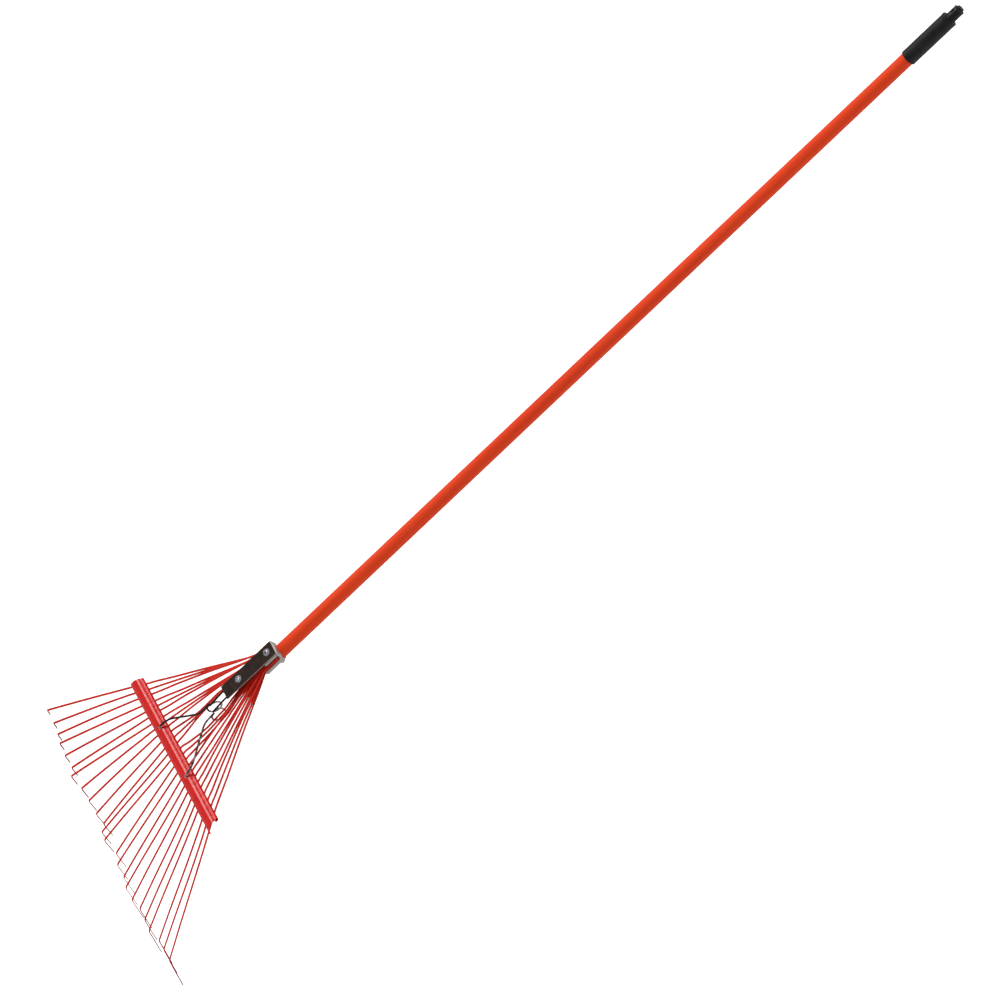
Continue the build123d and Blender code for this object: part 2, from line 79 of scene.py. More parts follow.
class Material:
    """Builds one node tree; texture scales are per metre, bump distances in metres."""

    def __init__(self, name):
        self.material = bpy.data.materials.new(name)
        self.material.use_nodes = True
        self.tree = self.material.node_tree
        self.coords = self.node("ShaderNodeTexCoord").outputs["Object"]

    def node(self, kind, **props):
        node = self.tree.nodes.new(kind)
        for key, value in props.items():
            setattr(node, key, value)
        return node

    def put(self, socket, value):
        """Link a socket, or set a plain value."""
        if isinstance(value, bpy.types.NodeSocket):
            self.tree.links.new(value, socket)
        else:
            socket.default_value = value

    def noise(self, scale, detail=4.0, rough=0.55, vector=None):
        node = self.node("ShaderNodeTexNoise")
        self.put(node.inputs["Vector"], vector or self.coords)
        node.inputs["Scale"].default_value = scale
        node.inputs["Detail"].default_value = detail
        node.inputs["Roughness"].default_value = rough
        return node.outputs["Fac"]

    def streaks(self, scales, detail, rough):
        """Noise with its own scale on each axis."""
        node = self.node("ShaderNodeMapping")
        self.put(node.inputs["Vector"], self.coords)
        node.inputs["Scale"].default_value = scales
        return self.noise(1.0, detail, rough, vector=node.outputs["Vector"])

    def cells(self, scale):
        node = self.node("ShaderNodeTexVoronoi")
        self.put(node.inputs["Vector"], self.coords)
        node.inputs["Scale"].default_value = scale
        return node.outputs["Distance"]

    def ramp(self, factor, start, end, low=0.0, high=1.0):
        """Grey value low up to start, high from end on."""
        node = self.node("ShaderNodeValToRGB")
        stops = ((start, low), (end, high))
        for element, (position, grey) in zip(node.color_ramp.elements, stops):
            element.position = position
            element.color = (grey, grey, grey, 1)
        self.put(node.inputs["Fac"], factor)
        return node.outputs["Color"]

    def mix(self, mask, under, over):
        node = self.node("ShaderNodeMix", data_type="RGBA")
        for index, value in ((0, mask), (6, under), (7, over)):
            self.put(node.inputs[index], value)
        return node.outputs[2]

    def math(self, operation, first, second=0.0, clamp=False):
        node = self.node("ShaderNodeMath", operation=operation, use_clamp=clamp)
        self.put(node.inputs[0], first)
        self.put(node.inputs[1], second)
        return node.outputs[0]

    def times(self, first, second, clamp=False):
        return self.math("MULTIPLY", first, second, clamp)

    def level(self, factor, base, gain):
        """base + factor * gain"""
        return self.math("ADD", base, self.times(factor, gain))

    def centred(self, factor):
        return self.math("SUBTRACT", factor, 0.5)

    def attribute(self, name):
        return self.node("ShaderNodeAttribute", attribute_name=name).outputs["Fac"]

    def geometry(self, output):
        return self.node("ShaderNodeNewGeometry").outputs[output]

    def axis(self, vector, name):
        node = self.node("ShaderNodeSeparateXYZ")
        self.put(node.inputs[0], vector)
        return node.outputs[name]

    def bump(self, height, distance, strength, normal=None):
        node = self.node("ShaderNodeBump")
        node.inputs["Strength"].default_value = strength
        node.inputs["Distance"].default_value = distance
        self.put(node.inputs["Height"], height)
        if normal is not None:
            self.put(node.inputs["Normal"], normal)
        return node.outputs["Normal"]

    def finish(self, colour, rough, normal, metal=0.0, spec=0.5):
        inputs = self.tree.nodes["Principled BSDF"].inputs
        values = {"Base Color": colour, "Roughness": rough, "Metallic": metal,
                  "Specular IOR Level": spec, "Coat Roughness": 0.1, "Normal": normal}
        for name, value in values.items():
            self.put(inputs[name], value)
        return self.material


def make_enamel(name, main, deep, light, rough, spec, grain=1.0, tips=False):
    """Sprayed enamel: colour drift, orange peel and, with tips, painted shade on the long edges
    and worn ends.
    """
    mat = Material(name)
    drift = mat.noise(scale=38.0, detail=3.0, rough=0.5)
    colour = mat.mix(mat.ramp(drift, start=0.35, end=0.68), main, deep)
    fine = mat.noise(scale=420.0, detail=3.0, rough=0.6)
    colour = mat.mix(mat.ramp(fine, start=0.56, end=0.74, high=0.45), colour, light)
    sheen = mat.noise(scale=160.0, detail=2.0)
    rough = mat.level(mat.centred(sheen), base=rough, gain=0.25 * grain)
    metal = 0.0
    if tips:
        # the long edges are darkened in patches as painted shade, and the paint is worn through
        # at the tip
        patches = mat.ramp(mat.noise(scale=210.0), start=0.38, end=0.62, low=0.15)
        shaded_edge = mat.times(mat.attribute("shaded_edge"), patches)
        colour = mat.mix(mat.times(shaded_edge, 0.75, clamp=True), colour, srgb(84, 14, 10))
        tip = mat.attribute("tip")
        chips = mat.noise(scale=300.0, detail=5.0, rough=0.7)
        worn = mat.level(chips, base=mat.times(tip, 0.75), gain=0.55)
        scuff = mat.ramp(worn, start=0.60, end=0.86)
        colour = mat.mix(mat.times(tip, 0.55, clamp=True), colour, srgb(112, 20, 14))
        colour = mat.mix(scuff, colour, srgb(150, 126, 120))
        metal = mat.times(scuff, 0.45)
        rough = mat.level(scuff, base=rough, gain=0.12)
    peel = mat.noise(scale=520.0, detail=2.0, rough=0.4)
    normal = mat.bump(peel, distance=0.00006 * grain, strength=0.6 * grain)
    return mat.finish(colour, rough, normal, metal, spec)


def make_fibreglass():
    """Pultruded tube: fine fibres along the length under a satin coat."""
    mat = Material("fibreglass_orange_red")
    fibres = mat.streaks((900.0, 5.0, 900.0), detail=4.0, rough=0.6)
    broad = mat.streaks((70.0, 2.2, 70.0), detail=2.0, rough=0.5)
    colour = mat.mix(mat.ramp(broad, start=0.3, end=0.72), srgb(236, 68, 24), srgb(222, 57, 20))
    pale = mat.ramp(fibres, start=0.40, end=0.66, high=0.5)
    colour = mat.mix(pale, colour, srgb(236, 84, 44))
    strands = mat.streaks((420.0, 16.0, 420.0), detail=3.0, rough=0.6)
    dark = mat.ramp(strands, start=0.60, end=0.76, high=0.45)
    colour = mat.mix(dark, colour, srgb(168, 30, 20))
    # light handling scuffs, longer along the tube
    rubs = mat.streaks((120.0, 26.0, 120.0), detail=5.0, rough=0.7)
    scuff = mat.ramp(rubs, start=0.66, end=0.74, high=0.30)
    colour = mat.mix(scuff, colour, srgb(232, 120, 92))
    rough = mat.level(fibres, base=0.40, gain=0.12)
    return mat.finish(colour, rough, mat.bump(fibres, distance=0.00005, strength=0.7), spec=0.12)


def make_rubber():
    """Black rubber: fine cell grain, soft mottle and dust."""
    mat = Material("grip_rubber_black")
    mottle = mat.noise(scale=60.0)
    colour = mat.mix(mat.ramp(mottle, start=0.35, end=0.7), srgb(16, 14, 14), srgb(30, 27, 27))
    specks = mat.noise(scale=240.0, detail=5.0, rough=0.7)
    dust = mat.ramp(specks, start=0.60, end=0.78, high=0.5)
    colour = mat.mix(dust, colour, srgb(54, 48, 46))
    swell = mat.bump(mat.noise(scale=130.0, detail=3.0), distance=0.00012, strength=0.5)
    normal = mat.bump(mat.cells(scale=900.0), distance=0.00010, strength=0.6, normal=swell)
    return mat.finish(colour, mat.level(mottle, base=0.42, gain=0.2), normal, spec=0.3)


def make_casting():
    """As-cast aluminium: sand grain, faint stains and small dark pits."""
    mat = Material("cast_aluminium")
    blotch = mat.noise(scale=70.0, rough=0.6)
    colour = mat.mix(mat.ramp(blotch, start=0.32, end=0.7),
                     srgb(188, 190, 186), srgb(152, 152, 147))
    patches = mat.noise(scale=34.0, detail=5.0, rough=0.65)
    stain = mat.ramp(patches, start=0.52, end=0.70, high=0.55)
    colour = mat.mix(stain, colour, srgb(158, 148, 136))
    pits = mat.ramp(mat.cells(scale=620.0), start=0.06, end=0.2, low=1.0, high=0.0)
    colour = mat.mix(mat.times(pits, 0.5), colour, srgb(96, 94, 90))
    sand = mat.noise(scale=560.0, rough=0.6)
    swell = mat.bump(mat.noise(scale=110.0, detail=3.0), distance=0.0004, strength=0.5)
    normal = mat.bump(sand, distance=0.00018, strength=0.55, normal=swell)
    return mat.finish(colour, mat.level(blotch, base=0.46, gain=0.2), normal, metal=0.35)


def make_plate():
    """Black oxide strip: brown-black mottle, scratches, sheared bare edges with a painted
    highlight where they face +Y.
    """
    mat = Material("black_oxide_strip")
    mottle = mat.noise(scale=95.0, detail=5.0, rough=0.62)
    colour = mat.mix(mat.ramp(mottle, start=0.34, end=0.70), srgb(30, 20, 16), srgb(54, 38, 30))
    brown = mat.ramp(mat.noise(scale=42.0, rough=0.6), start=0.5, end=0.7, high=0.6)
    colour = mat.mix(brown, colour, srgb(46, 30, 20))
    lines = mat.streaks((900.0, 60.0, 400.0), detail=5.0, rough=0.7)
    scratches = mat.ramp(lines, start=0.66, end=0.73, high=0.55)
    colour = mat.mix(scratches, colour, srgb(112, 98, 90))
    # side faces are bare ground metal; where they face +Y a painted highlight takes them to near
    # white
    facing = mat.geometry("True Normal")
    flatness = mat.math("ABSOLUTE", mat.axis(facing, "Z"))
    side = mat.ramp(flatness, start=0.25, end=0.8, low=1.0, high=0.0)
    painted_highlight_side = mat.ramp(mat.axis(facing, "Y"), start=0.4, end=0.85)
    grind = mat.streaks((500.0, 90.0, 1500.0), detail=4.0, rough=0.6)
    bare_and_highlight = mat.mix(mat.ramp(grind, start=0.35, end=0.65),
                   srgb(128, 116, 108), srgb(178, 168, 162))
    # painted highlight: the side faces turned to +Y go near white
    bare_and_highlight = mat.mix(painted_highlight_side, bare_and_highlight, srgb(246, 240, 238))
    colour = mat.mix(side, colour, bare_and_highlight)
    scored = mat.bump(scratches, distance=0.00005, strength=0.5)
    normal = mat.bump(mottle, distance=0.00008, strength=0.6, normal=scored)
    return mat.finish(colour, mat.level(mottle, base=0.50, gain=0.25), normal,
                      metal=mat.times(side, 0.15), spec=0.12)


def make_zinc():
    """Bright zinc: spangle, dull patches, and darker in the recesses."""
    mat = Material("bright_zinc_plate")
    spangle = mat.ramp(mat.cells(scale=260.0), start=0.1, end=0.7)
    colour = mat.mix(spangle, srgb(214, 214, 220), srgb(168, 168, 176))
    dull = mat.ramp(mat.noise(scale=180.0, rough=0.65), start=0.48, end=0.66, high=0.8)
    colour = mat.mix(dull, colour, srgb(116, 112, 116))
    recess = mat.ramp(mat.geometry("Pointiness"), start=0.42, end=0.50, low=1.0, high=0.0)
    colour = mat.mix(mat.times(recess, 0.85), colour, srgb(40, 34, 34))
    normal = mat.bump(mat.noise(scale=380.0, detail=3.0), distance=0.00008, strength=0.5)
    return mat.finish(colour, mat.level(dull, base=0.22, gain=0.3), normal, metal=0.85)


def make_wire():
    """Black-coated spring wire, grey steel where its point attribute is high: partly rubbed
    coating, partly painted highlight.
    """
    mat = Material("spring_wire_black")
    drawn = mat.noise(scale=700.0, rough=0.6)
    colour = mat.mix(mat.ramp(drawn, start=0.4, end=0.7), srgb(10, 9, 11), srgb(26, 24, 25))
    patches = mat.centred(mat.noise(scale=150.0, detail=5.0, rough=0.7))
    rubbed_and_lit = mat.level(patches, base=mat.attribute("wear_and_highlight"), gain=0.9)
    bare_and_highlight = mat.ramp(rubbed_and_lit, start=0.34, end=0.58)
    colour = mat.mix(bare_and_highlight, colour, srgb(188, 186, 188))
    return mat.finish(colour, mat.level(drawn, base=0.30, gain=0.12),
                      mat.bump(drawn, distance=0.00006, strength=0.5),
                      metal=mat.times(bare_and_highlight, 0.7), spec=0.35)


def make_wood():
    mat = Material("core_hardwood")
    rings = mat.streaks((420.0, 14.0, 160.0), detail=4.0, rough=0.6)
    colour = mat.mix(mat.ramp(rings, start=0.35, end=0.68),
                     srgb(198, 160, 112), srgb(150, 108, 66))
    return mat.finish(colour, 0.7, mat.bump(rings, distance=0.0001, strength=0.6))


TINE_RED = make_enamel("tine_enamel_red", main=srgb(210, 40, 22), deep=srgb(186, 28, 15),
                       light=srgb(222, 62, 38), rough=0.45, spec=0.12, tips=True)
BAR_RED = make_enamel("bar_enamel_red", main=srgb(214, 20, 15), deep=srgb(202, 13, 11),
                      light=srgb(220, 34, 22), rough=0.30, spec=0.32, grain=0.2)
FIBREGLASS = make_fibreglass()
RUBBER = make_rubber()
CASTING = make_casting()
PLATE = make_plate()
ZINC = make_zinc()
WIRE = make_wire()
WOOD = make_wood()


# ------------------------------------------------------------------ curve helpers
def unit(vector):
    return vector * (1.0 / vector.length)


def tangent(points, i):
    return unit(points[min(i + 1, len(points) - 1)] - points[max(i - 1, 0)])


def clamp(value):
    return min(1.0, max(0.0, value))


def smoothstep(t):
    return t * t * (3 - 2 * t)


def cubic(t, span, start, start_slope, end, end_slope):
    """Hermite cubic over one span, t from 0 to 1."""
    return ((2 * t**3 - 3 * t**2 + 1) * start + (t**3 - 2 * t**2 + t) * span * start_slope
            + (-2 * t**3 + 3 * t**2) * end + (t**3 - t**2) * span * end_slope)


def interpolate(knots, y):
    """Monotone cubic through (y, value) knots listed with falling y."""
    ys = [knot[0] for knot in knots]
    values = [knot[1] for knot in knots]
    if y >= ys[0]:
        return values[0]
    if y <= ys[-1]:
        return values[-1]
    chords = [(values[i + 1] - values[i]) / (ys[i + 1] - ys[i]) for i in range(len(ys) - 1)]
    slopes = [chords[0]]
    for a, b in zip(chords, chords[1:]):
        slopes.append(0.0 if a * b <= 0 else 2 * a * b / (a + b))
    slopes.append(chords[-1])
    i = next(i for i in range(len(chords)) if ys[i] >= y >= ys[i + 1])
    span = ys[i + 1] - ys[i]
    return cubic((y - ys[i]) / span, span, values[i], slopes[i], values[i + 1], slopes[i + 1])


def spline(points, step, start_slope=None, end_slope=None):
    """Cubic spline by chord length, resampled at most step apart; free ends by default."""
    knots = np.array([tuple(p) for p in points], float)
    count = len(knots)
    chords = np.linalg.norm(np.diff(knots, axis=0), axis=1)
    gaps = np.diff(np.concatenate([[0], np.cumsum(chords)]))
    system = np.zeros((count, count))
    target = np.zeros((count, 3))
    for i in range(1, count - 1):
        before, after = gaps[i - 1], gaps[i]
        system[i, i - 1:i + 2] = after, 2 * (before + after), before
        target[i] = 3 * (after * (knots[i] - knots[i - 1]) / before
                         + before * (knots[i + 1] - knots[i]) / after)
    if start_slope is None:
        system[0, :2] = 2, 1
        target[0] = 3 * (knots[1] - knots[0]) / gaps[0]
    else:
        system[0, 0] = 1
        target[0] = start_slope
    if end_slope is None:
        system[-1, -2:] = 1, 2
        target[-1] = 3 * (knots[-1] - knots[-2]) / gaps[-1]
    else:
        system[-1, -1] = 1
        target[-1] = end_slope
    slopes = np.linalg.solve(system, target)
    curve = []
    for i, gap in enumerate(gaps):
        pieces = max(1, int(math.ceil(gap / step)))
        for q in range(pieces):
            curve.append(Vector(cubic(q / pieces, gap, knots[i], slopes[i],
                                      knots[i + 1], slopes[i + 1])))
    curve.append(Vector(knots[-1]))
    return curve


# ------------------------------------------------------------------ mesh helpers
def add_object(name, mesh, material):
    for polygon in mesh.polygons:
        polygon.use_smooth = True
    mesh.materials.clear()
    mesh.materials.append(material)
    ob = bpy.data.objects.new(name, mesh)
    scene.collection.objects.link(ob)
    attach(ob, "root")
    return ob


def sweep(name, rings, material, closed=False):
    """Skin through rings of equal count: joined end to end if closed, else fan-capped."""
    verts = [v * MM for ring in rings for v in ring]
    last, count = len(rings) - 1, len(rings[0])
    faces = []
    for i in range(last):
        for j in range(count):
            a, b = i * count + j, i * count + (j + 1) % count
            faces.append((a, b, b + count, a + count))
    if closed:
        for j in range(count):
            after = (j + 1) % count
            faces.append((last * count + j, last * count + after, after, j))
    else:
        for i in (0, last):
            centre = len(verts)
            verts.append(sum(rings[i], Vector()) / count * MM)
            for j in range(count):
                face = (i * count + j, i * count + (j + 1) % count, centre)
                faces.append(face if i else face[::-1])
    mesh = bpy.data.meshes.new(name)
    mesh.from_pydata([tuple(v) for v in verts], [], faces)
    mesh.validate()
    mesh.update()
    ob = add_object(name, mesh, material)
    bm = bmesh.new()
    bm.from_mesh(mesh)
    bmesh.ops.recalc_face_normals(bm, faces=bm.faces)
    bm.to_mesh(mesh)
    bm.free()
    return ob


def point_attribute(ob, name, values):
    ob.data.attributes.new(name, "FLOAT", "POINT").data.foreach_set("value", values)


def per_ring(values, count):
    """One value per ring, spread over a sweep's points and its two cap centres."""
    return [value for value in values for _ in range(count)] + [values[0], values[-1]]


def soften(node, name, material, voxel, rounds, shape=None):
    """The node's own solid with its edges melted: remeshed, relaxed, then shaped."""
    source = NODES[node].data.copy()
    work = bpy.data.objects.new("tmp_" + name, source)
    scene.collection.objects.link(work)
    bm = bmesh.new()
    bm.from_mesh(source)
    bmesh.ops.remove_doubles(bm, verts=bm.verts, dist=1e-6)
    bm.to_mesh(source)
    bm.free()
    remesh = work.modifiers.new("r", "REMESH")
    remesh.mode = "VOXEL"
    remesh.voxel_size = voxel * MM
    remesh.use_smooth_shade = True
    smooth = work.modifiers.new("s", "SMOOTH")
    smooth.factor = 0.5
    smooth.iterations = rounds
    graph = bpy.context.evaluated_depsgraph_get()
    mesh = bpy.data.meshes.new_from_object(work.evaluated_get(graph), depsgraph=graph)
    mesh.name = name
    bpy.data.objects.remove(work)
    if shape is not None:
        points = np.empty(len(mesh.vertices) * 3)
        normals = np.empty_like(points)
        mesh.vertices.foreach_get("co", points)
        mesh.vertices.foreach_get("normal", normals)
        shaped = shape(points.reshape(-1, 3) / MM, normals.reshape(-1, 3)) * MM
        mesh.vertices.foreach_set("co", shaped.ravel())
        mesh.update()
    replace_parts(add_object(name, mesh, material), node)


def dress(node, material, bevel=0.0):
    """A CAD node that keeps its mesh, with a real material and eased edges."""
    ob = NODES[node]
    ob.data.materials.clear()
    ob.data.materials.append(material)
    if bevel:
        ease = ob.modifiers.new("ease", "BEVEL")
        ease.width = bevel * MM
        ease.segments = 2
        ease.limit_method = "ANGLE"
        ease.angle_limit = radians(35)


# ------------------------------------------------------------------ tines
# Tines run from -X to +X in eight columns of three, stacked in Z inside the head.
TINE_W, TINE_T, TINE_CORNER_R = 3.9, 1.5, 0.42
LAYER, LAYER_GAIN = 1.65, 0.4  # stack pitch, and its growth outside the head
STACK_Z = 16.7
COLUMN_X = (-19.3, -14.6, -9.9, -5.4, 5.4, 9.9, 14.6, 19.3)
COLUMN_DROP = (3.0, 1.3, 0.0, 0.0, 0.0, 0.0, 1.3, 3.0)
FAN_Y0 = -37.0  # the fan starts here

# where the slots through the bar start and end, head side first
SLOT_Y0, SLOT_Y1 = -253.0, -283.0
SLOT_Z0, SLOT_Z1 = -3.3, -7.2
ENTER_X = (-156.2, -143.1, -131.1, -115.2, -103.2, -91.6, -76.8, -65.2,
           -54.1, -40.8, -26.9, -13.4, 0.5, 13.8, 27.1, 41.3,
           55.0, 68.3, 81.8, 95.0, 109.7, 126.0, 140.9, 155.9)
LEAVE_X = (-176.6, -162.0, -147.7, -130.4, -115.3, -101.2, -86.2, -72.5,
           -58.3, -42.2, -26.2, -12.2, 2.1, 17.6, 33.0, 49.4,
           65.0, 80.0, 96.3, 111.3, 125.9, 146.2, 162.6, 176.9)
# corner where each tip turns down
BEND_X = (-297.1, -266.3, -242.3, -224.8, -197.2, -166.8, -155.3, -118.3,
          -86.5, -53.5, -25.4, -16.2, 0.1, 41.4, 60.2, 90.0,
          109.4, 138.9, 166.5, 191.3, 215.3, 248.4, 269.8, 296.4)
BEND_Y = (-460.5, -461.6, -465.0, -470.1, -472.3, -471.6, -480.8, -473.9,
          -472.3, -471.5, -467.7, -478.9, -482.0, -473.2, -482.0, -482.2,
          -488.5, -488.9, -483.2, -484.7, -487.6, -478.2, -478.3, -478.5)
BEND_R = 8.0

# tip reach down and towards -Y: (at the middle, extra at LEAN_X); splay in X at LEAN_X
TIP_DOWN, TIP_FORWARD, TIP_SPLAY = (42.0, 2.0), (13.0, 6.0), 25.0
LEAN_X = 296.0

# (y, z) of the fan's middle layer
FAN_Z = ((FAN_Y0, STACK_Z), (-44.0, 16.25), (-52.0, 15.4), (-85.0, 12.2), (-120.0, 9.3),
         (-157.0, 6.2), (-200.0, 2.2), (-240.0, -1.85), (SLOT_Y0, SLOT_Z0), (SLOT_Y1, SLOT_Z1))
FAN_FALL, FAN_SAG = 0.155, 0.00012  # linear and square fall in Z beyond the bar
# (y, x distance of an outer tine from its column's middle tine)
SPREAD = ((-38.0, 0.0), (-52.0, 0.92), (-85.0, 2.96), (-120.0, 5.1), (-157.0, 7.4),
          (-187.0, 9.2), (-220.0, 11.3), (SLOT_Y0, 13.3))
# (y, |x|) of the tines of the two centre columns, innermost tine first
CENTRE_COLUMNS = (3, 4)
CENTRE_X = (
    ((-85.0, 9.4), (-120.0, 12.6), (-139.0, 15.7), (-180.0, 15.9)),
    ((-85.0, 11.4), (-120.0, 16.0), (-139.0, 19.7), (-180.0, 20.7)),
    ((-85.0, 13.4), (-120.0, 19.4), (-139.0, 23.7), (-180.0, 25.6)),
)

# y stations of the course: in the head, along the fan, through the bar
HEAD_YS = (-3.5, -12, -20, -28, -33.0)
FAN_YS = (-38, -43, -48, -54, -62, -72, -85, -102, -120, -130, -139, -150, -163, -177,
          -188, -200, -212, -224, -238)
BAR_END_Y = -288.0
BAR_YS = (-250.0, -262.0, -275.0, BAR_END_Y)


def tine_place(i):
    """Column, side (-1 or 1 in X) and outward rank (-1, 0, 1) of a tine."""
    column, member = divmod(i, 3)
    side = -1 if column < 4 else 1
    return column, side, (member - 1) * side


def along(y, start, length):
    """0 at y = start, rising to 1 over length towards -Y."""
    return clamp((start - y) / length)


def fan_x(i, y):
    column, side, outward = tine_place(i)
    column_x = COLUMN_X[column]
    if column in CENTRE_COLUMNS:
        knots = [(knot_y, side * x) for knot_y, x in CENTRE_X[outward + 1]]
        return interpolate([(FAN_Y0, column_x)] + knots + [(SLOT_Y0, ENTER_X[i])], y)
    middle = ENTER_X[3 * column + 1]
    part = max(0.0, (FAN_Y0 - y) / (FAN_Y0 - SLOT_Y0))
    offset = abs(ENTER_X[i] - middle)
    return (column_x + part * (middle - column_x)
            + side * outward * interpolate(SPREAD, y) * offset / SPREAD[-1][1])


def layer_z(i, y):
    """Height of a tine above the middle layer; the layers merge before the bar."""
    column, _, outward = tine_place(i)
    merge = smoothstep(along(y, start=-192.0, length=48.0))
    open_up = along(y, start=-46.0, length=60.0)
    level_up = smoothstep(along(y, start=-50.0, length=90.0))
    return (-outward * (LAYER + LAYER_GAIN * open_up) * (1 - merge)
            - COLUMN_DROP[column] * (1 - level_up))


def beyond_bar_z(y):
    run = SLOT_Y1 - y
    return SLOT_Z1 - FAN_FALL * run - FAN_SAG * run * run


def tine_course(i):
    """Centre line of a tine and the axis its tip bends about."""
    course = [Vector((COLUMN_X[i // 3], y, STACK_Z + layer_z(i, y))) for y in HEAD_YS]
    for y in FAN_YS:
        course.append(Vector((fan_x(i, y), y, interpolate(FAN_Z, y) + layer_z(i, y))))
    for y in BAR_YS:
        part = (y - SLOT_Y0) / (SLOT_Y1 - SLOT_Y0)
        course.append(Vector((ENTER_X[i] + part * (LEAVE_X[i] - ENTER_X[i]), y,
                              SLOT_Z0 + part * (SLOT_Z1 - SLOT_Z0))))
    # from the bar to the corner, easing from the slot's heading to the chord
    bar_x = course[-1].x
    slot_slope = (LEAVE_X[i] - ENTER_X[i]) / (SLOT_Y1 - SLOT_Y0)
    run = BEND_Y[i] - BAR_END_Y
    chord_slope = (BEND_X[i] - bar_x) / run
    start_slope = 0.5 * slot_slope + 0.5 * chord_slope
    for t in (0.12, 0.28, 0.5, 0.75, 1.0):
        y = BAR_END_Y + t * run
        x = cubic(t, run, bar_x, start_slope, BEND_X[i], chord_slope)
        course.append(Vector((x, y, beyond_bar_z(y))))
    corner = course.pop()
    inward = unit(corner - course[-1])
    lean = BEND_X[i] / LEAN_X
    tip = Vector((TIP_SPLAY * lean, -TIP_FORWARD[0] - TIP_FORWARD[1] * abs(lean),
                  -TIP_DOWN[0] - TIP_DOWN[1] * abs(lean)))
    down = unit(tip)
    turn = acos(inward.dot(down))
    axis = unit(inward.cross(down))
    start = corner - inward * (BEND_R * tan(turn / 2))
    normal = unit(down - inward * inward.dot(down))
    flat = spline(course + [start - inward * 20, start - inward * 6], step=5.0)
    arc = [start + inward * (BEND_R * sin(turn * q / 12))
           + normal * (BEND_R * (1 - cos(turn * q / 12))) for q in range(13)]
    end = corner + down * tip.length
    tail = [arc[-1] + (end - arc[-1]) * part for part in (0.2, 0.45, 0.7, 0.86, 0.95, 1.0)]
    return flat + arc + tail, axis


def rounded_section(width, thick, radius, segments=3):
    """Rounded rectangle as (across the width, through the thickness) points."""
    points = []
    half_w, half_t = width / 2 - radius, thick / 2 - radius
    for x, y, first in ((half_w, half_t, 0), (-half_w, half_t, 90),
                        (-half_w, -half_t, 180), (half_w, -half_t, 270)):
        for q in range(segments + 1):
            angle = radians(first + 90 * q / segments)
            points.append((x + radius * cos(angle), y + radius * sin(angle)))
    return points


TINE_SECTION = rounded_section(TINE_W, TINE_T, TINE_CORNER_R)
UP = Vector((0, 0, 1))
TWIST_Y = -300.0  # the strip starts to turn towards its bend axis here
END_ROUND = 1.6   # length over which the sheared end's corners are rounded


def build_tine(i):
    course, axis = tine_course(i)
    lengths = [0.0]
    for a, b in zip(course, course[1:]):
        lengths.append(lengths[-1] + (b - a).length)
    rings, tipness = [], []
    for q, centre in enumerate(course):
        ahead = tangent(course, q)
        level = unit(ahead.cross(UP)) if abs(ahead.z) < 0.9 else axis
        if level.dot(axis) < 0:
            level = -level
        part = clamp((TWIST_Y - centre.y) / (TWIST_Y - BEND_Y[i] - 10.0))
        across = level * (1 - part) + axis * part
        across = unit(across - ahead * across.dot(ahead))
        through = unit(ahead.cross(across))
        left = lengths[-1] - lengths[q]
        scale_w = scale_t = 1.0
        if left <= END_ROUND:
            scale_w = 0.62 + 0.38 * sqrt(max(0.0, 1 - ((END_ROUND - left) / END_ROUND) ** 2))
        if left <= 0.5:
            scale_t = 0.75 + 0.5 * left
        rings.append([centre + across * (a * scale_w) + through * (b * scale_t)
                      for a, b in TINE_SECTION])
        tipness.append(clamp(1.25 - left / 34.0))
    ob = sweep("tine_strip_%02d" % (i + 1), rings, TINE_RED)
    # the strip's long edges get the painted shade
    on_shaded_edge = [1.0 if abs(a) > TINE_W / 2 - 0.2 else 0.0 for a, _ in TINE_SECTION]
    point_attribute(ob, "tip", per_ring(tipness, len(TINE_SECTION)))
    point_attribute(ob, "shaded_edge", on_shaded_edge * len(rings) + [0.6, 0.6])
    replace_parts(ob, "tine_%02d" % (i + 1))


for i in range(24):
    build_tine(i)


# ------------------------------------------------------------------ spreader bar
CREASE_Y, CREASE_W, CREASE_DEPTH = -268.6, 1.2, 0.15
# dents at each tine: (part of the way from enter to leave x, y, x reach, y reach, depth)
DENTS = ((0.16, -258.8, 3.0, 2.6, 0.24), (0.93, -280.5, 3.4, 3.2, 0.14))
END_DROP = 2.2


def bar_shape(points, _normals):
    """Pressed sheet: soft crease along the crown, dents at the tines, ends turned down."""
    x, y, z = points.T
    sheet = np.clip((z + 6.0) / 4.0, 0, 1)  # fades the changes out low on the bar
    z -= CREASE_DEPTH * np.exp(-(((y + -CREASE_Y) / CREASE_W) ** 2)) * sheet
    for enter, leave in zip(ENTER_X, LEAVE_X):
        for part, dent_y, reach_x, reach_y, depth in DENTS:
            dent_x = enter + (leave - enter) * part
            z -= depth * np.exp(-(((x - dent_x) / reach_x) ** 2)
                                - (((y - dent_y) / reach_y) ** 2)) * sheet
    # the turned-down ends start further out towards -Y
    ends = np.clip((np.abs(x) - (171.0 + (-255.0 - y) * 0.33)) / 7.0, 0, 1)
    z -= END_DROP * ends**2 * sheet
    return points


soften("spreader_bar", "spreader_bar_pressed", BAR_RED, voxel=0.42, rounds=5,
       shape=bar_shape)


# ------------------------------------------------------------------ head, bolts, grip
def cast_shape(points, normals):
    """Slight unevenness of a sand casting, kept under 0.15 mm."""
    x, y, z = points.T
    ripple = 0.07 * (np.sin(x * 0.9 + 1.3) * np.sin(y * 0.7) + np.sin(y * 0.43 + z * 0.8 + 0.6))
    return points - normals * np.abs(ripple)[:, None]


